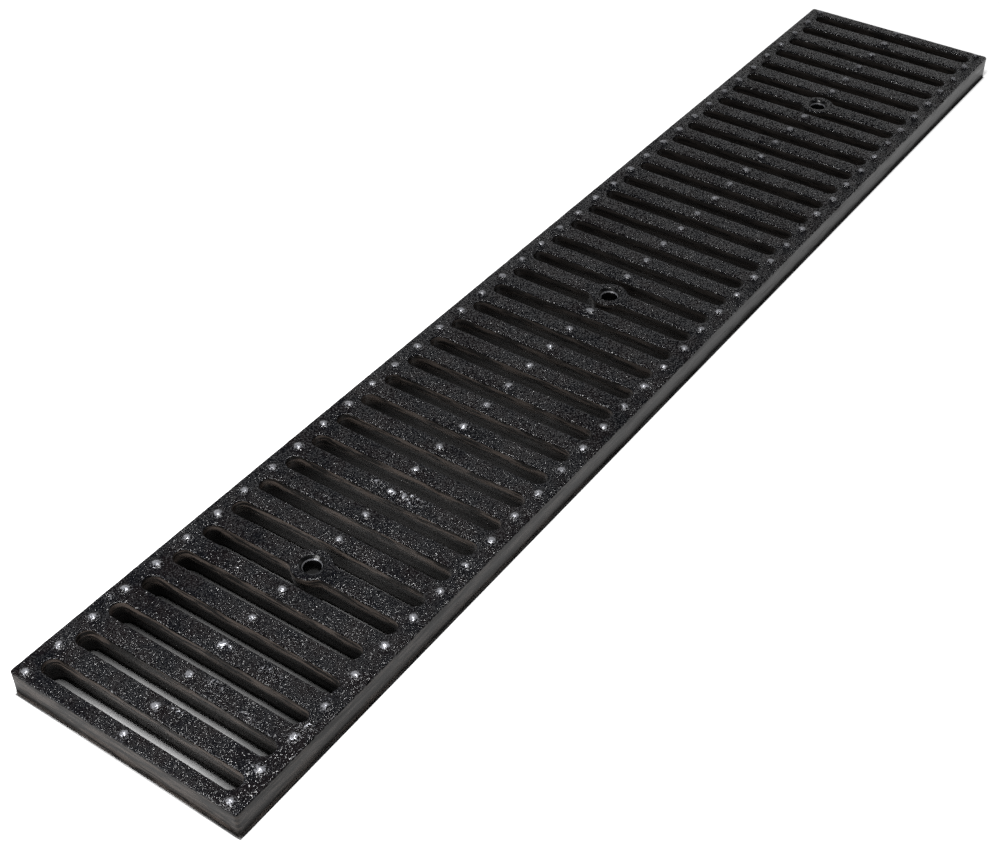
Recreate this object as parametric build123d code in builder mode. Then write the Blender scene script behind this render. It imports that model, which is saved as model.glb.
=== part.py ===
from build123d import *
from math import radians, tan
import os

# Channel drain grate: one iron casting, laid flat as it lies in its channel.
# X runs along the grate, Y across it and Z up. The origin is the middle of the underside.

# Outline, mm
length = 603.25  # 23 3/4 in, a nominal 24 in section
width = 104.8  # 4 1/8 in
depth = 12.5  # without the nubs
corner_radius = 1.5  # upright corners of the outline
edge_bevel = 0.8  # upper outer edges, where the flash is ground off

# Bolts, mm and degrees
bolt_spacing = 203.2  # 8 in
bolt_count = 3
hole_diameter = 6.9  # clears a 1/4 in bolt
countersink_diameter = 9.8
countersink_angle = 82.0
boss_diameter = 16.2
boss_blend = 3.5  # hollow curve where the boss runs into its bar

# Slots and bars, mm
slot_pitch = 15.8  # nominal: whole slots are fitted between the bolts, and beyond the outer ones
slot_width = 7.5
side_rim = 7.1  # from the long side to the round end of a slot
end_bar = 6.2  # from the short side to the first slot
lip_depth = 4.5  # the sides of a bar are upright this far down
bar_taper = 10.0  # degrees that they lean in below that, so that what falls in drops clear

# Anti-slip nubs, mm
nub_diameter = 4.4
nub_height = 1.3
nub_inset = 5.5  # from the long side to the outer rows
nub_sides = 5
nub_shoulder = 0.6  # share of the height where the dome's flats turn in

# Places along the grate, worked out from the sizes above
bolt_xs = [bolt_spacing * (i - (bolt_count - 1) / 2) for i in range(bolt_count)]
inner_slots = round(bolt_spacing / slot_pitch)  # from bolt to bolt
inner_pitch = bolt_spacing / inner_slots
outer_reach = length / 2 - bolt_xs[-1] - end_bar  # from an outer bolt to the end bar
outer_slots = max(1, round(outer_reach / slot_pitch))
outer_pitch = (outer_reach - slot_width / 2) / (outer_slots - 0.5)
slot_length = width - 2 * side_rim


def along(offset):
    """X of a slot (offset 0.5) or of a bar (offset 0) for every pitch, but for the end bars."""
    inner = [x + inner_pitch * (i + offset) for x in bolt_xs[:-1] for i in range(inner_slots)]
    right = [bolt_xs[-1] + outer_pitch * (i + offset) for i in range(outer_slots)]
    left = [-x for x in right if x > bolt_xs[-1]]
    return sorted(left + inner + right)


slot_xs = along(0.5)
end_bar_x = length / 2 - end_bar / 2
bar_xs = [-end_bar_x, *along(0), end_bar_x]
plain_bar_xs = [x for x in bar_xs if min(abs(x - bolt) for bolt in bolt_xs) > inner_pitch / 2]

# Lower part of the bars' sides, which leans in along the straight of a slot, but not beside a boss
taper_height = depth - lip_depth
flare = taper_height * tan(radians(bar_taper))  # how far a side has leaned in at the underside
straight_reach = (slot_length - slot_width) / 2  # from the centreline to where a slot turns round
blend_x = (min(inner_pitch, outer_pitch) - slot_width) / 2 + boss_blend
boss_reach = max(0, (boss_diameter / 2 + boss_blend) ** 2 - blend_x**2) ** 0.5


def faces_bolt(x, side):
    """True where that side of the slot is a side of a bar with a bolt."""
    return any(0 < side * (bolt - x) < slot_pitch for bolt in bolt_xs)


def side_place(x, side, y=0):
    """Foot of one side of a slot, turned so that X points into the iron."""
    return Location((x + side * slot_width / 2, y, 0), (0, 0, 0 if side > 0 else 180))


slot_sides = [(x, side) for x in slot_xs for side in (-1, 1)]
plain_sides = [side_place(x, side) for x, side in slot_sides if not faces_bolt(x, side)]
beside_boss_y = (boss_reach + straight_reach) / 2
bolt_sides = [
    side_place(x, side, y)
    for x, side in slot_sides if faces_bolt(x, side)
    for y in (-beside_boss_y, beside_boss_y)
]

# Levels of a nub, which is cut from a ball
nub_ball = (nub_diameter**2 / 4 + nub_height**2) / (2 * nub_height)  # the ball's radius
shoulder_height = nub_shoulder * nub_height
shoulder_radius = (nub_ball**2 - (shoulder_height + nub_ball - nub_height) ** 2) ** 0.5
nub_root = nub_height / 2  # how deep the nub is set in its bar
nub_row_y = width / 2 - nub_inset


def on_boss(vertex):
    """True for a corner that lies on the edge of a boss."""
    reach = [((vertex.X - x) ** 2 + vertex.Y**2) ** 0.5 for x in bolt_xs]
    return min(abs(r - boss_diameter / 2) for r in reach) < 0.01


def ring(radius, height):
    """Corners of one level of a nub."""
    return [Vector(radius, 0, height).rotate(Axis.Z, 360 / nub_sides * i) for i in range(nub_sides)]


def taper_wedge(run):
    """What the lean takes off one side of a bar along that run; half of the wedge lies in the slot."""
    with BuildPart() as wedge:
        with BuildSketch(Plane.XZ):
            Polygon((-flare, 0), (flare, 0), (-flare, 2 * taper_height), align=None)
        extrude(amount=run / 2, both=True)
    return wedge.part


long_wedge = taper_wedge(2 * straight_reach)
short_wedge = taper_wedge(straight_reach - boss_reach)  # from a boss to the end of the straight

# Slots as the walking face shows them, pinched beside the bosses
with BuildSketch(Plane.XY.offset(depth)) as slots:
    with Locations(*[(x, 0) for x in slot_xs]):
        SlotOverall(slot_length, slot_width, rotation=90)
    with Locations(*[(x, 0) for x in bolt_xs]):
        Circle(boss_diameter / 2, mode=Mode.SUBTRACT)
    fillet([v for v in slots.vertices() if on_boss(v)], boss_blend)

# One nub: a low dome of flat facets with a blunt point
with BuildPart() as nub:
    root = ring(nub_diameter / 2, -nub_root)
    base = ring(nub_diameter / 2, 0)
    shoulder = ring(shoulder_radius, shoulder_height)
    ConvexPolyhedron([*root, *base, *shoulder, (0, 0, nub_height)])

with BuildPart() as grate:
    # Solid bar of iron, bevelled round the walking face
    with BuildSketch():
        RectangleRounded(length, width, corner_radius)
    extrude(amount=depth)
    chamfer(grate.faces().sort_by(Axis.Z)[-1].outer_wire().edges(), edge_bevel)

    # Slots right through, which widen below the lip
    extrude(slots.sketch, amount=-depth, mode=Mode.SUBTRACT)
    with Locations(*plain_sides):
        add(long_wedge, mode=Mode.SUBTRACT)
    with Locations(*bolt_sides):
        add(short_wedge, mode=Mode.SUBTRACT)

    with Locations(*[(x, 0, depth) for x in bolt_xs]):
        CounterSinkHole(hole_diameter / 2, countersink_diameter / 2, counter_sink_angle=countersink_angle)

    # Nubs along both rims, and down the middle of the bars that hold no bolt
    rims = [(x, y, depth) for x in bar_xs for y in (-nub_row_y, nub_row_y)]
    middle = [(x, 0, depth) for x in plain_bar_xs]
    with Locations(*rims, *middle):
        add(nub.part)

grate.part.label = "grate"
os.makedirs("parts", exist_ok=True)
export_step(grate.part, "parts/grate.step")
print("bars", len(bar_xs), "slots", len(slot_xs), "nubs", len(rims) + len(middle))
print("inner pitch", round(inner_pitch, 3), "outer pitch", round(outer_pitch, 3))
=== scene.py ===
import math
import random

import bmesh
import bpy
import numpy as np
from mathutils import Matrix, Vector, geometry, noise


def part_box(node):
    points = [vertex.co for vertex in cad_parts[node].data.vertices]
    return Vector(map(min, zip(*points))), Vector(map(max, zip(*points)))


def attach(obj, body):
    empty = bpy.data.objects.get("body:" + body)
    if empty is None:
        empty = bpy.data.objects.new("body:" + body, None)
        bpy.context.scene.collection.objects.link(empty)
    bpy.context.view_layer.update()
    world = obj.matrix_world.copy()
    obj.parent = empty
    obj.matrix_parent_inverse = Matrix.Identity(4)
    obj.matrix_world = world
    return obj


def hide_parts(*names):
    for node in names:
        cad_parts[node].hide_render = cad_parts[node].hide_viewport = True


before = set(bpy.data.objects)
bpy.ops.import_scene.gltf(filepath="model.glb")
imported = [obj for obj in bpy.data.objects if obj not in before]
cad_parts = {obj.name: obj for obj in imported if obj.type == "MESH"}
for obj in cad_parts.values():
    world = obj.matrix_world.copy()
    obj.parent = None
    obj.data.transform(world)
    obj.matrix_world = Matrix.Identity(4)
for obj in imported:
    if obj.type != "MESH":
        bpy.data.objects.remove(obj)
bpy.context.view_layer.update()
grateLow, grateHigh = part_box("grate")
print("frame loaded")

mm = 0.001

casting = {                    # mm; length, width and the nubs' height come from the frame
    "depth": 12.5,             # at the rim, without the nubs
    "cornerRadius": 1.5,
    "edgeRound": 0.8,          # outer edges, where the flash is ground off
    "edgeUneven": 0.3,         # share by which that varies
    "boltSpacing": 203.2,
    "holeRadius": 3.45,
    "countersinkRadius": 4.9,
    "countersinkSlope": 41.0,  # degrees from the bolt's line
    "sinkRim": [(0.35, 0.0), (0.1, 0.08), (-0.15, 0.35)],  # out from the countersink's edge, and down
    "boreTop": [(0.25, -0.1), (0.0, 0.35)],  # out from the bore, and down from the slope's foot
    "boreFoot": [(0.0, 0.3), (0.3, 0.0)],  # out from the bore, and up from the underside
    "bossRadius": 8.1,
    "bossBlend": 3.5,
    "slotPitch": 15.8,         # nominal: whole slots are fitted between the bolts and beyond them
    "slotWidth": 7.5,
    "sideRim": 7.1,
    "endBar": 6.2,
    "slotRound": 0.65,         # upper edge of a slot, as the sand leaves it
    "slotUneven": 0.35,        # share by which that varies
    "slotFoot": 0.4,           # its lower edge
    "lipDepth": 4.5,           # a bar's sides are upright this far down, and then lean in
    "lipTurn": 0.25,           # above and below that depth, where the upright turns into the lean
    "lipEase": 0.03,           # how far it has leaned in after the turn
    "barTaper": 10.5,          # degrees, on average
    "leanPower": 1.5,          # above 1 the lean grows towards the foot
    "shortSlot": 4,            # this slot ran short at its -Y end when it was cast
    "shortBy": 3.0,
}

length = (grateHigh.x - grateLow.x) / mm
width = (grateHigh.y - grateLow.y) / mm
nubHeight = (grateHigh.z - grateLow.z) / mm - casting["depth"]

mesh = {                            # how finely the casting is drawn
    "sideSteps": 42,                # along one side of a slot, about 2 mm apart
    "blendSteps": 4,                # of these, along each hollow blend beside a boss
    "bossSteps": 10,                # and round the boss
    "endSteps": 14,                 # round one end of a slot
    "cornerSteps": 5,
    "holeSteps": 40,
    "edgeAngles": (0, 30, 60, 90),  # degrees, rings round an upper edge
    "belowEdge": 0.4,               # mm, first ring of a slot's wall under its rounded edge
    "midLip": 0.6,                  # share of the lip's depth, second ring
    "leanShares": (0.35, 0.6, 0.82, 1),  # rings down the leaning part
    "outerShares": (0.33, 0.67),    # rings down the outer walls
    "edgeSpacing": 2.0,             # mm, along the outer edges
    "topSpacing": 1.6,              # mm, between loose points on the walking face
    "underSpacing": 4.5,            # mm, the same on the underside
    "jitter": 0.22,                 # share of the spacing that a loose point may be off its grid
    "flawSpacing": 0.6,             # mm, where the face is rough
    "flawReach": 2,                 # half widths of a rough spot, within which the points are that close
    "nubGap": 0.6,                  # mm, from the points of a nub to loose points
    "flawNubGap": 0.3,              # mm, and to the points of a rough spot
}

gaps = {  # mm, loose points keep off the rounding of slots, sides and countersinks
    "face": (0.85, 0.8, 1.0),
    "detail": (0.3, 0.3, 1.0),
    "under": (1.95, 2.0, 0.05),
}


# Plan of the slots and bars

boltXs = [casting["boltSpacing"] * i for i in (-1, 0, 1)]
innerSlots = round(casting["boltSpacing"] / casting["slotPitch"])
innerPitch = casting["boltSpacing"] / innerSlots
outerReach = length / 2 - casting["endBar"] - boltXs[-1]
outerSlots = round(outerReach / casting["slotPitch"])
outerPitch = (outerReach - casting["slotWidth"] / 2) / (outerSlots - 0.5)
slotRadius = casting["slotWidth"] / 2
slotHalf = width / 2 - casting["sideRim"] - slotRadius  # middle of a slot to the centre of its round end


def along(offset):  # X of every slot (0.5) or bar (0) but the end bars
    inner = [x + innerPitch * (i + offset) for x in boltXs[:-1] for i in range(innerSlots)]
    right = [boltXs[-1] + outerPitch * (i + offset) for i in range(outerSlots)]
    left = [-x for x in right if x > boltXs[-1]]
    return sorted(left + inner + right)


slotXs = along(0.5)
endBarX = length / 2 - casting["endBar"] / 2
barXs = [-endBarX, *along(0), endBarX]


# Outlines: each gives points, anticlockwise and without the end point, and their normals

def straight(start, end, normal, steps):
    share = np.arange(steps)[:, None] / steps
    return np.array(start) + (np.array(end) - start) * share, np.tile(normal, (steps, 1)).astype(float)


def arc(centre, radius, start, end, steps, away=True):  # normals away from the centre, or towards it
    angles = np.radians(start + (end - start) * np.arange(steps) / steps)
    rays = np.stack([np.cos(angles), np.sin(angles)], 1)
    return np.array(centre) + radius * rays, rays * (1 if away else -1)


def joined(stretches):
    return np.concatenate([s[0] for s in stretches]), np.concatenate([s[1] for s in stretches])


def slotSide(low, high, boltAway):  # the +X side of a slot at X = 0; boltAway is how far off a bolt is, or None
    steps = mesh["sideSteps"]
    if boltAway is None:
        return [straight((slotRadius, low), (slotRadius, high), (1, 0), steps)]
    blend, boss = casting["bossBlend"], casting["bossRadius"]
    blendX = slotRadius - blend
    blendY = math.sqrt((boss + blend) ** 2 - (boltAway - blendX) ** 2)
    turn = math.degrees(math.atan2(blendY, boltAway - blendX))
    rest = (steps - 2 * mesh["blendSteps"] - mesh["bossSteps"]) // 2
    return [
        straight((slotRadius, low), (slotRadius, -blendY), (1, 0), rest),
        arc((blendX, -blendY), blend, 0, turn, mesh["blendSteps"]),
        arc((boltAway, 0), boss, 180 + turn, 180 - turn, mesh["bossSteps"], away=False),
        arc((blendX, blendY), blend, -turn, 0, mesh["blendSteps"]),
        straight((slotRadius, blendY), (slotRadius, high), (1, 0), rest),
    ]


def slotOutline(index):  # normals point into the iron
    x = slotXs[index]
    right = [bolt - x for bolt in boltXs if 0 < bolt - x < innerPitch]
    left = [x - bolt for bolt in boltXs if 0 < x - bolt < innerPitch]
    low = -slotHalf + (casting["shortBy"] if index == casting["shortSlot"] else 0)
    rightSide = slotSide(low, slotHalf, right[0] if right else None)
    leftSide = slotSide(-slotHalf, -low, left[0] if left else None)
    turned = [(-points, -normals) for points, normals in leftSide]  # half a turn puts it on the other side
    points, normals = joined([
        *rightSide, arc((0, slotHalf), slotRadius, 0, 180, mesh["endSteps"]),
        *turned, arc((0, low), slotRadius, 180, 360, mesh["endSteps"]),
    ])
    return points + (x, 0), normals


def sideOutline():  # the casting's own, a rounded rectangle; normals point out of the iron
    radius = casting["cornerRadius"]
    halfX, halfY = length / 2 - radius, width / 2 - radius
    stepsX, stepsY = (round(size / mesh["edgeSpacing"]) for size in (length, width))
    corner = mesh["cornerSteps"]
    return joined([
        straight((halfX + radius, -halfY), (halfX + radius, halfY), (1, 0), stepsY),
        arc((halfX, halfY), radius, 0, 90, corner),
        straight((halfX, halfY + radius), (-halfX, halfY + radius), (0, 1), stepsX),
        arc((-halfX, halfY), radius, 90, 180, corner),
        straight((-halfX - radius, halfY), (-halfX - radius, -halfY), (-1, 0), stepsY),
        arc((-halfX, -halfY), radius, 180, 270, corner),
        straight((-halfX, -halfY - radius), (halfX, -halfY - radius), (0, -1), stepsX),
        arc((halfX, -halfY), radius, 270, 360, corner),
    ])


# Relief of the walking face

nubs = {
    "foot": 2.4,             # mm, half width of a nub where it meets the face
    "blunt": 0.45,           # share of that over which its top is rounded
    "inset": 5.5,            # mm, rim nubs in from the long edges
    "drift": 0.3,            # mm, how far a nub may sit off its place
    "heights": (0.8, 0.97),  # shares of the height that the frame allows
    "feet": (0.92, 1.06),    # shares of the half width
    "stretch": 0.1,          # how far from round its foot may be
    "lumpy": 0.07,           # how far the lumps change its height
    "seed": 7,
    "rings": [(0, 1), (0.5, 7), (0.95, 12), (1.4, 16), (1.8, 18), (2.2, 20), (2.65, 22), (3.15, 24)],  # mm, points
    "reach": 5,              # mm, beyond which a nub is flat
}

face = {
    "swell": 0.06,        # mm, slow rise and fall of a sand casting
    "swellSize": 11.0,
    "ripple": 0.035,      # mm
    "rippleSize": 3.6,
    "lumpSize": 1.3,      # mm, the broken lumps on nubs and in the rough spots
    "lumpGround": 0.3,    # share of a rough spot's height that is even
    "lumpGain": 1.5,      # and that is lumps
    "wallWave": 0.07,     # mm, on walls
    "wallSize": 7.0,
    "slotEdgeSize": 3.0,  # mm, unevenness along the upper edges
    "sideEdgeSize": 3.5,
    "topRoom": 0.02,      # mm, kept free below the top of the frame's nubs
}

noiseLayers = {  # each pattern reads its own layer
    "swell": 0.0, "ripple": 5.0, "lumps": 9.0, "slotEdge": 21.0,
    "slotWall": 30.0, "sideEdge": 40.0, "sideWall": 50.0, "under": 60.0,
}

roughSpots = [  # mm: X, Y, half width along X and Y, height of the lumps
    (-155.1, 7.4, 1.9, 3.0, 1.14),
    (-155.6, -6.6, 2.6, 5.8, 1.60),
    (-155.5, -15.2, 3.1, 3.5, 0.46),
    (-250.3, -2.4, 1.8, 4.8, 1.30),
    (-251.0, -22.6, 1.9, 6.5, 0.98),
    (-265.9, -11.2, 2.6, 4.5, 1.23),
    (-281.3, -8.8, 1.9, 4.2, 0.98),
    (-269.9, -29.3, 2.9, 5.0, 0.60),
    (-172.8, 18.7, 1.2, 1.2, 1.14),
    (-220.6, 20.5, 1.2, 1.5, 1.06),
    (-137.9, 30.8, 1.1, 2.0, 0.93),
    (-257.6, 49.0, 2.4, 2.0, 0.98),
    (-262.0, -47.6, 3.8, 3.0, 1.14),
    (-284.5, -44.6, 3.0, 3.6, 0.85),
    (-271.8, -42.9, 3.0, 2.6, 0.80),
    (-246.4, -45.4, 2.8, 2.8, 0.85),
]


def placeNubs():
    rng = random.Random(nubs["seed"])
    rimY = width / 2 - nubs["inset"]
    placed = []
    for x in barXs:
        hasBolt = min(abs(x - bolt) for bolt in boltXs) < innerPitch / 2
        for y in ((-rimY, rimY) if hasBolt else (-rimY, 0, rimY)):
            drift = [rng.uniform(-1, 1) * nubs["drift"] for _ in range(2)]
            if abs(x) == endBarX:  # there is no room for it on an end bar
                drift[0] = 0
            placed.append({
                "x": x + drift[0], "y": y + drift[1],
                "height": nubHeight * rng.uniform(*nubs["heights"]),
                "foot": nubs["foot"] * rng.uniform(*nubs["feet"]),
                "stretch": rng.uniform(-nubs["stretch"], nubs["stretch"]),
                "turn": rng.uniform(0, math.pi),
            })
    return placed


nubList = placeNubs()


def noiseAt(points, size, layer, rise=0.0):
    depth = noiseLayers[layer] + rise
    return np.array([noise.noise(Vector((x / size, y / size, depth))) for x, y in points])


def nearTo(points, x, y, reach):  # which points lie within a square round that place, and how far off they are
    near = np.flatnonzero(np.abs(points - (x, y)).max(1) < reach)
    return near, *(points[near] - (x, y)).T


def faceHeight(points):  # mm above the plain walking face
    swell = noiseAt(points, face["swellSize"], "swell") * face["swell"]
    ripple = noiseAt(points, face["rippleSize"], "ripple") * face["ripple"]
    lumps = noiseAt(points, face["lumpSize"], "lumps")
    height = swell + ripple
    blunt = nubs["blunt"]
    edge = math.hypot(1, blunt)
    for nub in nubList:
        near, dx, dy = nearTo(points, nub["x"], nub["y"], nubs["reach"])
        bearing = np.arctan2(dy, dx)
        reach = np.hypot(dx, dy) / nub["foot"] * (1 + nub["stretch"] * np.cos(2 * (bearing - nub["turn"])))
        dome = nub["height"] * np.maximum(edge - np.hypot(reach, blunt), 0) / (edge - blunt)
        height[near] += dome * (1 + nubs["lumpy"] * lumps[near])
    for x, y, halfX, halfY, rise in roughSpots:
        near, dx, dy = nearTo(points, x, y, 3 * max(halfX, halfY))  # next to nothing is left of it there
        spot = rise * np.exp(-(dx / halfX) ** 2 - (dy / halfY) ** 2)
        height[near] += spot * (face["lumpGround"] + face["lumpGain"] * lumps[near])
    return np.minimum(height, nubHeight - face["topRoom"])


# Mesh of the casting, in mm until it is handed to Blender

vertices, faces = [], []


def addRing(points, heights):
    first = len(vertices)
    heights = np.broadcast_to(heights, len(points))
    vertices.extend(np.column_stack([points, heights]).tolist())
    return list(range(first, len(vertices)))


def bridge(rings):  # joins each ring to the next; gives the first and the last
    for upper, lower in zip(rings, rings[1:]):
        for i in range(len(upper)):
            j = (i + 1) % len(upper)
            faces.append((upper[i], upper[j], lower[j], lower[i]))
    return rings[0], rings[-1]


def insideOutline(points, outline):  # counts the outline's edges that a line from the point along X crosses
    after = np.roll(outline, -1, axis=0)
    inside = np.zeros(len(points), bool)
    for (x0, y0), (x1, y1) in zip(outline, after):
        if y0 != y1:
            crosses = (y0 > points[:, 1]) != (y1 > points[:, 1])
            inside ^= crosses & (points[:, 0] < x0 + (points[:, 1] - y0) / (y1 - y0) * (x1 - x0))
    return inside


def depthInIron(points):  # mm from the nearest slot's wall, less than 0 in a slot
    x, y = points.T
    beyond = np.maximum(np.abs(y) - slotHalf, 0)
    nearest = np.full(len(points), np.inf)
    for slotX in slotXs:
        nearest = np.minimum(nearest, np.hypot(x - slotX, beyond) - slotRadius)
    for bolt in boltXs:
        nearest = np.maximum(nearest, casting["bossRadius"] - np.hypot(x - bolt, y))
    return nearest


def keepClear(points, kind):  # drops points too near an edge
    slotGap, sideGap, holeGap = gaps[kind]
    clear = depthInIron(points) > casting["slotRound"] + slotGap
    for axis, size in enumerate((length, width)):
        clear &= size / 2 - np.abs(points[:, axis]) > casting["edgeRound"] + sideGap
    for bolt in boltXs:
        clear &= np.hypot(points[:, 0] - bolt, points[:, 1]) > casting["countersinkRadius"] + holeGap
    return points[clear]


def loosePoints(spacing, kind, seed):
    rng = np.random.default_rng(seed)
    row = spacing * math.sqrt(3) / 2
    xs, ys = np.meshgrid(np.arange(-length / 2, length / 2, spacing), np.arange(-width / 2, width / 2, row))
    xs[1::2] += spacing / 2
    points = np.column_stack([xs.ravel(), ys.ravel()])
    points += rng.uniform(-mesh["jitter"], mesh["jitter"], points.shape) * spacing
    return keepClear(points, kind)


def nubPoints():
    points = []
    for nub in nubList:
        for radius, count in nubs["rings"]:
            turns = np.arange(count) / count * 2 * math.pi + radius
            points.append(np.column_stack([np.cos(turns), np.sin(turns)]) * radius + (nub["x"], nub["y"]))
    return np.concatenate(points)


def flawPoints():
    points = []
    for x, y, *halves, _ in roughSpots:
        reach = [mesh["flawReach"] * half for half in halves]
        xs, ys = np.meshgrid(*(np.arange(-r, r, mesh["flawSpacing"]) for r in reach))
        points.append(np.column_stack([xs.ravel() + x, ys.ravel() + y]))
    return np.concatenate(points)


def farFrom(points, centres, limits):
    clear = np.ones(len(points), bool)
    for (x, y), limit in zip(centres, limits):
        clear &= np.hypot(points[:, 0] - x, points[:, 1] - y) > limit
    return points[clear]


def sheet(rings, loose, looseHeights):
    # fills the flat within the first ring with triangles; the other rings stay open
    owners = [i for ring in rings for i in ring]
    coords = [Vector(vertices[i][:2]) for i in owners]
    edges, label = [], []
    for number, ring in enumerate(rings):
        first = len(label)
        label += [number] * len(ring)
        edges += [(first + i, first + (i + 1) % len(ring)) for i in range(len(ring))]
    owners += addRing(loose, looseHeights)
    label += [-1] * len(loose)
    coords += [Vector(p) for p in loose]
    found = geometry.delaunay_2d_cdt(coords, edges, [], 0, 1e-6)  # over the whole plan; nearer points are one
    origin = [ids[0] for ids in found[3]]
    triangles = np.array([[origin[i] for i in f] for f in found[2]])
    owners, label = np.array(owners), np.array(label)
    plan = np.array([tuple(c) for c in coords])
    middles = plan[triangles].mean(axis=1)
    drop = np.zeros(len(triangles), bool)
    for number in range(1, len(rings)):
        own = np.flatnonzero((label[triangles] == number).all(axis=1))
        drop[own] = insideOutline(middles[own], plan[label == number])
    faces.extend(owners[triangles[~drop]].tolist())


def roundEdge(points, inward, size, uneven, relief, fades):
    # rings from the walking face over an upper edge; where it fades, the relief is gone at the wall
    rings = []
    for angle in mesh["edgeAngles"]:
        a = math.radians(angle)
        back = size * uneven * (1 - math.sin(a)) if angle else np.full(len(points), size)
        left = relief * (math.cos(a) if fades else 1)
        level = casting["depth"] + left - size * uneven * (1 - math.cos(a))
        rings.append(addRing(points + inward * back[:, None], level))
    return rings


def buildSlot(index):  # upper edge, wall and lower edge
    points, normals = slotOutline(index)
    top, foot, depth, lip = (casting[name] for name in ("slotRound", "slotFoot", "depth", "lipDepth"))
    relief = faceHeight(points + normals * top)
    uneven = 1 + casting["slotUneven"] * noiseAt(points, face["slotEdgeSize"], "slotEdge")
    rings = roundEdge(points, normals, top, uneven, relief, fades=False)
    under = depth - foot - lip  # height of the part that leans
    draft = (depth - lip - foot) * math.tan(math.radians(casting["barTaper"]))  # and how far it leans in
    turn, ease = casting["lipTurn"], casting["lipEase"]
    wall = [(top + mesh["belowEdge"], 0), (lip * mesh["midLip"], 0), (lip - turn, 0), (lip + turn, ease)]
    wall += [(lip + under * share, draft * share ** casting["leanPower"]) for share in mesh["leanShares"]]
    for down, recess in wall:
        wave = face["wallWave"] * noiseAt(points, face["wallSize"], "slotWall", down / 4)
        rings.append(addRing(points + normals * (recess + wave)[:, None], depth - down))
    for angle in (45, 90):
        a = math.radians(angle)
        rings.append(addRing(points + normals * (draft + foot * (1 - math.cos(a))), foot * (1 - math.sin(a))))
    return bridge(rings)


def buildHole(x):  # countersunk bolt hole
    depth, sink, bore = casting["depth"], casting["countersinkRadius"], casting["holeRadius"]
    sinkDepth = (sink - bore) / math.tan(math.radians(casting["countersinkSlope"]))
    profile = [(sink + out, down) for out, down in casting["sinkRim"]]
    profile += [(bore + out, sinkDepth + down) for out, down in casting["boreTop"]]
    profile += [(bore + out, depth - up) for out, up in casting["boreFoot"]]
    rings = []
    for radius, down in profile:
        points = arc((x, 0), radius, 0, 360, mesh["holeSteps"])[0]
        relief = faceHeight(points) if down < sinkDepth / 2 else 0
        rings.append(addRing(points, depth - down + relief))
    return bridge(rings)


def buildOutside():  # upper edge, side walls and lower edge
    edge, depth = casting["edgeRound"], casting["depth"]
    points, normals = sideOutline()
    relief = faceHeight(points - normals * edge)
    uneven = 1 + casting["edgeUneven"] * noiseAt(points, face["sideEdgeSize"], "sideEdge")
    rings = roundEdge(points, -normals, edge, uneven, relief, fades=True)
    for share in mesh["outerShares"]:
        wave = face["wallWave"] * (noiseAt(points, face["wallSize"], "sideWall", 5 * share) - 1)
        rings.append(addRing(points + normals * wave[:, None], (depth - edge) + (2 * edge - depth) * share))
    for angle in (0, 45, 90):
        a = math.radians(angle)
        rings.append(addRing(points - normals * edge * (1 - math.cos(a)), edge * (1 - math.sin(a))))
    return bridge(rings)


def buildCasting():
    outside = buildOutside()
    openings = [buildSlot(i) for i in range(len(slotXs))] + [buildHole(x) for x in boltXs]
    topRings, underRings = zip(outside, *openings)
    print("edges made,", len(vertices), "points")

    nubPlaces = [(nub["x"], nub["y"]) for nub in nubList]
    nubReach = nubs["rings"][-1][0]
    loose = loosePoints(mesh["topSpacing"], "face", 3)
    loose = farFrom(loose, nubPlaces, [nubReach + mesh["nubGap"]] * len(nubList))
    flawLimits = [mesh["flawReach"] * min(spot[2:4]) for spot in roughSpots]
    loose = farFrom(loose, [spot[:2] for spot in roughSpots], flawLimits)
    flaws = farFrom(flawPoints(), nubPlaces, [nubReach + mesh["flawNubGap"]] * len(nubList))
    detail = keepClear(np.concatenate([nubPoints(), flaws]), "detail")
    points = np.concatenate([detail, loose])
    sheet(topRings, points, casting["depth"] + faceHeight(points))

    under = loosePoints(mesh["underSpacing"], "under", 4)
    sheet(underRings, under, (noiseAt(under, face["swellSize"], "under") + 1) * face["swell"])

    data = bpy.data.meshes.new("grate_casting")
    data.from_pydata((np.array(vertices) * mm).tolist(), [], faces)
    data.validate()
    turnOutwards(data)
    piece = bpy.data.objects.new("grate_casting", data)
    bpy.context.scene.collection.objects.link(piece)
    return piece


def turnOutwards(data):  # and shades every face smooth
    work = bmesh.new()
    work.from_mesh(data)
    bmesh.ops.recalc_face_normals(work, faces=work.faces)
    openEdges = sum(1 for e in work.edges if len(e.link_faces) != 2)
    print("open edges", openEdges, "triangles", sum(len(f.verts) - 2 for f in work.faces))
    work.to_mesh(data)
    work.free()
    data.shade_smooth()


grate = buildCasting()
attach(grate, "root")
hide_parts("grate")
print("casting built")


# Nodes

def srgb(code):  # sRGB hex to linear
    parts = [int(code[i:i + 2], 16) / 255 for i in (1, 3, 5)]
    return [p / 12.92 if p <= 0.04045 else ((p + 0.055) / 1.055) ** 2.4 for p in parts] + [1.0]


def metres(sizes):  # from mm
    return [size * mm for size in sizes]


def addNode(tree, kind, inputs=None, **settings):  # an input takes a constant or another node's output
    node = tree.nodes.new("ShaderNode" + kind)
    for name, value in settings.items():
        setattr(node, name, value)
    for name, value in (inputs or {}).items():
        if isinstance(value, bpy.types.NodeSocket):
            tree.links.new(value, node.inputs[name])
        else:
            node.inputs[name].default_value = value
    return node


def ramp(tree, source, start, end, low=0.0, high=1.0, **settings):  # low up to the start, high from the end on
    return addNode(tree, "MapRange", {0: source, 1: start, 2: end, 3: low, 4: high}, **settings).outputs[0]


def blend(tree, share, first, second):  # two colours
    return addNode(tree, "Mix", {0: share, 6: first, 7: second}, data_type="RGBA").outputs[2]


def maths(tree, operation, *terms, **settings):
    return addNode(tree, "Math", dict(enumerate(terms)), operation=operation, **settings).outputs[0]


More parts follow.
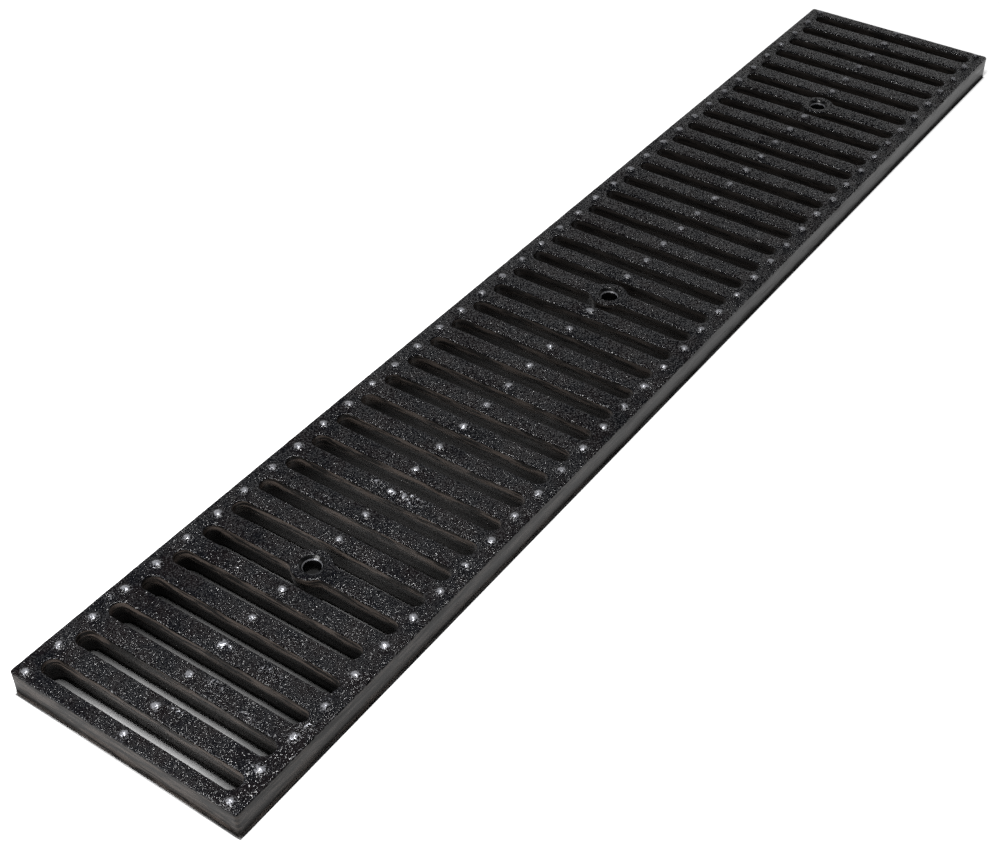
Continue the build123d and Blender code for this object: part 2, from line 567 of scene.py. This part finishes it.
def product(tree, first, *others):
    for other in others:
        first = maths(tree, "MULTIPLY", first, other)
    return first


def vectorLength(tree, x, y):
    flat = addNode(tree, "CombineXYZ", {0: x, 1: y}).outputs[0]
    return addNode(tree, "VectorMath", {0: flat}, operation="LENGTH").outputs["Value"]


# Finish of the casting

ironFinish = {                      # where a pair has no unit, it is where a look starts and where it is full
    "pitAndShadeColour": "#040405",         # bitumen lying thick between the grains, and a painted shade on the rounded edges and in the bolt holes
    "faceColour": "#090a0f",        # blue-black on the walking face
    "faceTint": "#110c0e",          # where the film has dried to a warmer black
    "crestColour": "#15161b",       # grains that the film barely covers
    "wallColour": "#151312",        # brown-black on the smoother walls
    "wallStreak": "#4d4540",        # thin, browner film in streaks along them
    "deepShadeColour": "#1a1614",        # painted shade low in the slots: a dull dark brown in place of the streaks
    "wornColour": "#a8a9ae",        # iron where feet and wheels have thinned the film, on nubs and lumps

    "edgeRoughness": 0.15,          # film kept smooth round the edges, where a dark line is painted as shade
    "faceRoughness": 0.22,
    "outerRoughness": 0.27,         # on the outer walls
    "wallRoughness": 0.4,           # in the slots
    "deepRoughness": 0.7,
    "holeRoughness": 0.3,           # in the bolt holes, which are bored
    "wornRoughness": 0.42,
    "wornMetal": 0.8,
    "specular": 0.36,

    "onFace": (0.1, 0.5),           # Z of the normal, from wall to walking face
    "edgeFrom": (0.15, 0.35),       # the same, round an edge, where a near-black line is painted as shade
    "edgeTo": (0.7, 0.58),
    "rubbedFrom": (0.62, 0.74),     # the same, where an edge is rubbed
    "rubbedTo": (0.994, 0.978),
    "rubbedLevels": (12.75, 12.6),  # mm, but not on what stands up
    "rubbed": 0.85,                 # how far
    "outerSkin": (4.0, 6.0),        # mm in from the outside, from outer walls to slots
    "deepLevels": (8.8, 6.0),       # mm
    "nubLevels": (12.8, 13.1),      # mm
    "wornLevels": (12.98, 13.4),    # mm
    "wornBreak": 4.0,               # how far the grains break the wear up

    "grainSize": 0.7,               # mm, sand grains of the mould
    "grainTilt": 2.6,               # how far a grain turns the surface
    "nubTilt": 0.5,                 # share of that on a nub, where the film lies thicker
    "holeTilt": 0.1,                # and in a bolt hole
    "pits": (0.5, 0.36),            # levels of the grain
    "crests": (0.58, 0.75),
    "patchSize": 26.0,              # mm, patches where the sand was coarser or finer
    "patches": (0.35, 0.65),
    "patchTilt": (0.6, 1.45),       # shares of the tilt in them
    "tintSize": 9.0,                # mm
    "tints": (0.42, 0.62),
    "streakLong": 14.0,             # mm, along a wall
    "streakHigh": 1.5,              # mm, up it
    "streaks": (0.45, 0.57),
    "outerStreak": 0.45,            # how far they show on the outer walls
    "streakShadeAlong": (-150.0, 0.0),       # mm along X, painted shade: from where the walls' streaks show in full to where they are dimmed, so the walls darken towards the far end
    "streaksInShade": 0.15,            # how far they show in that painted shade
    "wallTilt": 0.35,               # how far a streak turns the surface

    "holeRim": (0.3, 0.1),          # mm out from the countersink's edge, where its painted black shade sets in
    "seatRadii": (4.0, 3.8),        # mm, how far out the screw heads have rubbed their seats
    "seatLevels": (10.7, 10.8),     # mm, where the bores end and the seats start
    "seatWear": 0.4,
}


def addPatterns(tree, place):
    f = ironFinish
    pattern = {}
    for name, detail in (("grain", 1.0), ("patch", 2.0), ("tint", 3.0)):
        scale = 1 / (f[name + "Size"] * mm)
        pattern[name] = addNode(tree, "TexNoise", {"Vector": place, "Scale": scale, "Detail": detail}).outputs
    squeeze = [1 / (f[size] * mm) for size in ("streakLong", "streakLong", "streakHigh")]
    drawn = addNode(tree, "Mapping", {"Vector": place, "Scale": squeeze}).outputs[0]
    streak = {"Vector": drawn, "Scale": 1.0, "Detail": 3.0, "Roughness": 0.6}
    pattern["streak"] = addNode(tree, "TexNoise", streak).outputs
    return pattern


def addMasks(tree, spot, up):  # 1 where a kind of surface is, 0 elsewhere
    f = ironFinish
    mask = {"onFace": ramp(tree, up, *f["onFace"], interpolation_type="SMOOTHSTEP")}
    mask["edge"] = product(tree, ramp(tree, up, *f["edgeFrom"]), ramp(tree, up, *f["edgeTo"]))

    within = []
    for axis, size in (("X", length), ("Y", width)):
        skin = metres(size / 2 - inset for inset in f["outerSkin"])
        within.append(ramp(tree, maths(tree, "ABSOLUTE", spot[axis]), *skin))
    mask["inSlot"] = product(tree, *within)
    mask["deep"] = product(tree, ramp(tree, spot["Z"], *metres(f["deepLevels"])), mask["inSlot"])

    halfway = casting["boltSpacing"] / 2 * mm
    boltX = maths(tree, "WRAP", spot["X"], halfway, -halfway)  # so that every bolt is at 0
    boltGap = vectorLength(tree, boltX, spot["Y"])
    mask["inHole"] = ramp(tree, boltGap, *metres(casting["countersinkRadius"] + out for out in f["holeRim"]))
    seatRing = ramp(tree, boltGap, *metres(f["seatRadii"]))
    mask["seat"] = product(tree, seatRing, ramp(tree, spot["Z"], *metres(f["seatLevels"]), high=f["seatWear"]))

    offRise = ramp(tree, spot["Z"], *metres(f["rubbedLevels"]), high=f["rubbed"])
    mask["rubbed"] = product(tree, ramp(tree, up, *f["rubbedFrom"]), ramp(tree, up, *f["rubbedTo"]), offRise)
    return mask


def addFilm(tree, pattern, mask, spot):  # colour of the bitumen film
    f = ironFinish
    grain = pattern["grain"][0]
    tint = ramp(tree, pattern["tint"][0], *f["tints"])
    ground = blend(tree, tint, srgb(f["faceColour"]), srgb(f["faceTint"]))
    ground = blend(tree, ramp(tree, grain, *f["pits"]), ground, srgb(f["pitAndShadeColour"]))
    ground = blend(tree, ramp(tree, grain, *f["crests"]), ground, srgb(f["crestColour"]))

    shown = ramp(tree, mask["inSlot"], 0, 1, f["outerStreak"], 1.0)
    # painted shade: the brown streaks on the walls fade from the near end towards the far end
    streakShadeAlong = ramp(tree, spot["X"], *metres(f["streakShadeAlong"]), 1.0, f["streaksInShade"])
    streak = product(tree, ramp(tree, pattern["streak"][0], *f["streaks"]), product(tree, streakShadeAlong, shown))
    wall = blend(tree, streak, srgb(f["wallColour"]), srgb(f["wallStreak"]))
    # painted shade: darker low in the slots
    wall = blend(tree, mask["deep"], wall, srgb(f["deepShadeColour"]))

    film = blend(tree, mask["onFace"], wall, ground)
    # painted shade: near-black on the rounded edges and in the bolt holes
    for kind in ("edge", "inHole"):
        film = blend(tree, mask[kind], film, srgb(f["pitAndShadeColour"]))
    return film


def addWear(tree, grain, mask, level):  # on what stands up and on the edges, broken up by the grains
    f = ironFinish
    high = ramp(tree, level, *metres(f["wornLevels"]), clamp=False)
    either = maths(tree, "ADD", mask["rubbed"], high)
    tips = maths(tree, "SUBTRACT", grain, 0.5)
    trodden = maths(tree, "MULTIPLY_ADD", tips, f["wornBreak"], either, use_clamp=True)
    return maths(tree, "MAXIMUM", trodden, mask["seat"])


def scattered(tree, colour, amount):  # a noise's colour as a way to turn
    way = addNode(tree, "VectorMath", {0: colour, 1: (0.5, 0.5, 0.5)}, operation="SUBTRACT").outputs[0]
    return addNode(tree, "VectorMath", {0: way, 3: amount}, operation="SCALE").outputs[0]


def addTilt(tree, pattern, mask, level, normal):  # each grain and streak turns the surface its own way
    f = ironFinish
    patchTilt = [share * f["grainTilt"] for share in f["patchTilt"]]
    coarse = ramp(tree, pattern["patch"][0], *f["patches"], *patchTilt)
    offNub = ramp(tree, level, *metres(f["nubLevels"]), 1.0, f["nubTilt"])
    offHole = ramp(tree, mask["inHole"], 0, 1, 1.0, f["holeTilt"])
    faceTilt = scattered(tree, pattern["grain"][1], product(tree, mask["onFace"], offNub, offHole, coarse))
    wallTilt = scattered(tree, pattern["streak"][1], f["wallTilt"])
    tilt = addNode(tree, "VectorMath", {0: faceTilt, 1: wallTilt}, operation="ADD").outputs[0]
    turned = addNode(tree, "VectorMath", {0: normal, 1: tilt}, operation="ADD").outputs[0]
    return addNode(tree, "VectorMath", {0: turned}, operation="NORMALIZE").outputs[0]


def bitumenDippedIron():
    # Cast iron, sand-moulded and dipped in bitumen paint: a black, half-gloss film over a sandy skin that glitters
    # on the walking face, and lies smoother, browner and in streaks on the walls
    f = ironFinish
    material = bpy.data.materials.new("bitumenDippedSandCastIron")
    material.use_nodes = True
    tree = material.node_tree
    shader = tree.nodes["Principled BSDF"]
    place = addNode(tree, "TexCoord").outputs["Object"]
    spot = addNode(tree, "SeparateXYZ", {0: place}).outputs
    normal = addNode(tree, "NewGeometry").outputs["Normal"]
    up = addNode(tree, "SeparateXYZ", {0: normal}).outputs["Z"]
    pattern = addPatterns(tree, place)
    mask = addMasks(tree, spot, up)

    film = addFilm(tree, pattern, mask, spot)
    worn = addWear(tree, pattern["grain"][0], mask, spot["Z"])
    colour = blend(tree, worn, film, srgb(f["wornColour"]))
    tree.links.new(colour, shader.inputs["Base Color"])
    tree.links.new(maths(tree, "MULTIPLY", worn, f["wornMetal"]), shader.inputs["Metallic"])

    rough = ramp(tree, mask["inSlot"], 0, 1, f["outerRoughness"], f["wallRoughness"])
    for name, kind in (("deep", "deep"), ("face", "onFace"), ("edge", "edge"), ("hole", "inHole")):
        rough = ramp(tree, mask[kind], 0, 1, rough, f[name + "Roughness"])
    rough = ramp(tree, worn, 0, 1, rough, f["wornRoughness"])
    tree.links.new(rough, shader.inputs["Roughness"])
    shader.inputs["Specular IOR Level"].default_value = f["specular"]
    tree.links.new(addTilt(tree, pattern, mask, spot["Z"], normal), shader.inputs["Normal"])
    return material


grate.data.materials.append(bitumenDippedIron())
print("finish made")


# Floor

paper = {                           # pairs in m say where a change starts and where it is done
    "size": 6.0,                    # m
    "colour": "#f4f4f4",
    "outline": (0.0, 0.0002),       # from the casting, where the open floor starts
    "lift": 0.55,                   # added to what the camera sees, so that the open floor is white
    "liftNear": (0.0, 0.0012),
    "liftFar": (0.35, 1.6),         # where it grows to 1, as the lamps don't reach so far
    "mirrored": 0.8,                # how bright the casting mirrors the floor beside it
    "mirroredWhite": (0.0, 0.045),  # and where it mirrors it white
    "footShade": (0.001, 0.0036),   # the shade at its foot, as it mirrors it
    "shadeAlong": (-0.29, -0.252),  # X, how the paper under the grate falls into shade away from its near end
    "shadeEnd": (-0.225, -0.19),    # X, where it is lit again
    "shadeAcross": (0.02, 0.044),   # from the middle, how it falls into shade towards the long sides
    "shadeMost": 0.8,               # brightness at the near end
    "shadeLeast": 0.25,             # in the shade
    "shadeRest": 0.75,              # and where it is lit again
}


def mattPaper():
    # White card, matt: it shows as plain white, but under the grate a painted shade darkens it away from the near
    # end and towards the long sides; what the casting mirrors of it dims towards its foot, also a painted shade
    material = bpy.data.materials.new("mattPaper")
    material.use_nodes = True
    tree = material.node_tree
    tree.nodes.remove(tree.nodes["Principled BSDF"])
    path = addNode(tree, "LightPath").outputs
    place = addNode(tree, "SeparateXYZ", {0: addNode(tree, "TexCoord").outputs["Object"]}).outputs
    offX, offY = (maths(tree, "ABSOLUTE", place[axis]) for axis in "XY")
    overX = maths(tree, "MAXIMUM", maths(tree, "SUBTRACT", offX, length / 2 * mm), 0.0)
    overY = maths(tree, "MAXIMUM", maths(tree, "SUBTRACT", offY, width / 2 * mm), 0.0)
    gap = vectorLength(tree, overX, overY)  # from the casting, 0 under it
    beside = ramp(tree, gap, *paper["outline"])

    # painted shade on the paper under the grate: darker away from the near end, lit again further on, and darker
    # towards the long sides
    most, least, rest = (paper["shade" + name] for name in ("Most", "Least", "Rest"))
    falls = ramp(tree, place["X"], *paper["shadeAlong"], most, least)
    litAgain = ramp(tree, place["X"], *paper["shadeEnd"], high=rest)
    across = ramp(tree, offY, *paper["shadeAcross"], 1.0, least)
    shade = product(tree, maths(tree, "MAXIMUM", falls, litAgain), across)
    tone = blend(tree, ramp(tree, beside, 0, 1, shade, 1.0), (0, 0, 0, 1), srgb(paper["colour"]))

    lift = ramp(tree, gap, *paper["liftNear"], high=paper["lift"])
    lift = ramp(tree, gap, *paper["liftFar"], lift, 1.0)
    glow = addNode(tree, "Emission", {"Strength": product(tree, path["Is Camera Ray"], lift)}).outputs[0]
    card = addNode(tree, "BsdfDiffuse", {"Color": tone}).outputs[0]
    seen = addNode(tree, "AddShader", {0: card, 1: glow}).outputs[0]

    # painted shade in what the casting mirrors: dimmer beside it and darkest at its foot
    bright = ramp(tree, gap, *paper["mirroredWhite"], paper["mirrored"], 1.0)
    strength = product(tree, bright, ramp(tree, gap, *paper["footShade"]))
    reflection = addNode(tree, "Emission", {"Strength": strength}).outputs[0]
    mirror = maths(tree, "MAXIMUM", path["Is Glossy Ray"], path["Is Transmission Ray"])
    either = addNode(tree, "MixShader", {0: product(tree, mirror, beside), 1: seen, 2: reflection}).outputs[0]
    tree.links.new(either, tree.nodes["Material Output"].inputs["Surface"])
    return material


def buildFloor():
    data = bpy.data.meshes.new("floor")
    half = paper["size"] / 2
    corners = [(-half, -half, 0), (half, -half, 0), (half, half, 0), (-half, half, 0)]
    data.from_pydata(corners, [], [(0, 1, 2, 3)])
    floor = bpy.data.objects.new("floor", data)
    bpy.context.scene.collection.objects.link(floor)
    data.materials.append(mattPaper())


# Light

light = {
    "backdrop": 0.6,                   # the room behind the grate, near the horizon
    "front": 0.05,                     # on the camera's side, where it is dark
    "overhead": 0.022,
    "backWay": (0.8, 0.6, 0.0),
    "sides": (-0.35, 0.35),            # share of that way, where front gives way to back
    "ceiling": (0.36, 0.58),           # height in the sky, from where on it is overhead
    "keyPlace": (-0.235, -0.09, 0.8),  # m
    "keyAim": (-0.225, 0.0, 0.0),
    "keySize": (0.26, 0.08),           # m, along X and Y
    "keyPower": 6.4,                   # W
    "fillPlace": (-0.62, 0.03, 0.2),   # m, low in front, for the sides of the bars
    "fillAim": (-0.25, 0.0, 0.01),
    "fillSize": (0.25, 0.14),          # m
    "fillPower": 2.0,                  # W
}


def addLamp(name):
    lamp = bpy.data.lights.new(name, "AREA")
    lamp.shape = "RECTANGLE"
    lamp.size, lamp.size_y = light[name + "Size"]
    lamp.energy = light[name + "Power"]
    panel = bpy.data.objects.new(name, lamp)
    panel.location = light[name + "Place"]
    panel.rotation_euler = (Vector(light[name + "Aim"]) - panel.location).to_track_quat("-Z", "Y").to_euler()
    panel.visible_camera = False
    bpy.context.scene.collection.objects.link(panel)


def buildLight():
    world = bpy.data.worlds.new("studio")
    bpy.context.scene.world = world
    world.use_nodes = True
    tree = world.node_tree
    direction = addNode(tree, "TexCoord").outputs["Generated"]
    height = addNode(tree, "SeparateXYZ", {0: direction}).outputs["Z"]
    turned = addNode(tree, "VectorMath", {0: direction, 1: light["backWay"]}, operation="DOT_PRODUCT")
    share = ramp(tree, turned.outputs["Value"], *light["sides"], interpolation_type="SMOOTHSTEP")
    low = ramp(tree, share, 0, 1, light["front"], light["backdrop"])
    level = ramp(tree, height, *light["ceiling"], low, light["overhead"])
    background = tree.nodes["Background"]
    background.inputs["Color"].default_value = (1, 1, 1, 1)
    tree.links.new(level, background.inputs["Strength"])
    addLamp("key")
    addLamp("fill")


# Camera

view = {
    "place": (-498.7, -298.5, 432.7),  # mm
    "aim": (-95.6, -8.1, 6.0),         # mm, what the middle of the picture shows
    "roll": -0.80,                     # degrees
    "lens": 57.9,                      # mm
    "sensor": 36.0,                    # mm wide
    "nearest": 10.0,                   # mm, nothing nearer is drawn
}


def buildCamera():
    data = bpy.data.cameras.new("camera")
    data.lens = view["lens"]
    data.sensor_width = view["sensor"]
    data.clip_start = view["nearest"] * mm
    camera = bpy.data.objects.new("camera", data)
    camera.location = Vector(view["place"]) * mm
    look = (Vector(view["aim"]) * mm - camera.location).to_track_quat("-Z", "Y").to_matrix().to_4x4()
    turn = look @ Matrix.Rotation(math.radians(view["roll"]), 4, "Z")
    camera.rotation_euler = turn.to_euler()
    bpy.context.scene.collection.objects.link(camera)
    bpy.context.scene.camera = camera


buildFloor()
buildLight()
buildCamera()
bpy.context.scene.view_settings.view_transform = "Standard"
bpy.context.scene.cycles.use_denoising = False  # the denoiser takes the glitter of the sand for noise
print("studio set")
